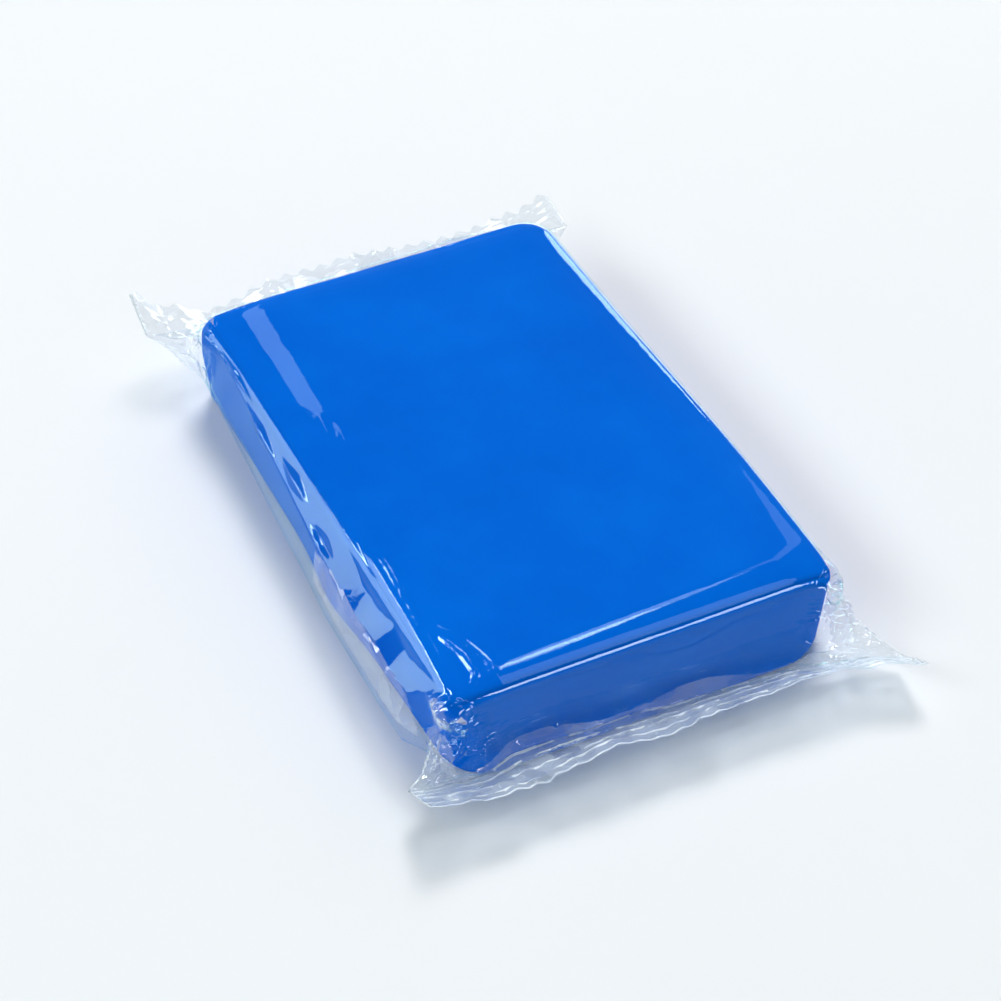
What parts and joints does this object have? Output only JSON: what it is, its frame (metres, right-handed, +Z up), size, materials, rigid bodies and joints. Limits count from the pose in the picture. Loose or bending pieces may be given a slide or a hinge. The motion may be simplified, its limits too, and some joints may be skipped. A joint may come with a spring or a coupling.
{
  "type": "wrapped clay bar",
  "caption": "Block of detailing clay sealed in a clear flow-wrap film with a fin seal beneath and zigzag-cut crimped ends; the front end tears off and the sleeve slides off the block.",
  "frame": {"origin": "middle of the pack's footprint, on the plane it rests on", "axes": "+Y along the block's long side, towards the rear seal; +X across it, to the side the back fin is folded to; +Z up"},
  "size_m": [0.084, 0.1316, 0.0179],
  "materials": {
    "clay": "smooth satin, slightly tacky modelling-type clay",
    "film": "clear glossy packaging film"
  },
  "bodies": {
    "clay": {"clay_bar": "clay"},
    "sleeve": {"film_sleeve": "film", "back_fin_seal": "film", "rear_end_fold": "film"},
    "rear_seal": {"rear_crimp_seal": "film"},
    "front_end": {"front_end_fold": "film"},
    "front_seal": {"front_crimp_seal": "film"}
  },
  "joints": [
    {"name": "sleeve_pull", "type": "slide", "parent": "clay", "child": "sleeve", "axis": [0, 1, 0], "range_m": [0, 0.12]},
    {"name": "front_end_tear", "type": "slide", "parent": "clay", "child": "front_end", "axis": [0, -1, 0], "range_m": [0, 0.06]},
    {"name": "front_seal_fold", "type": "hinge", "parent": "front_end", "child": "front_seal", "pos_m": [0, -0.05635, 0.007], "axis": [-1, 0, 0], "range_deg": [-40, 80]},
    {"name": "rear_seal_fold", "type": "hinge", "parent": "sleeve", "child": "rear_seal", "pos_m": [0, 0.05635, 0.007], "axis": [1, 0, 0], "range_deg": [-40, 80]}
  ]
}
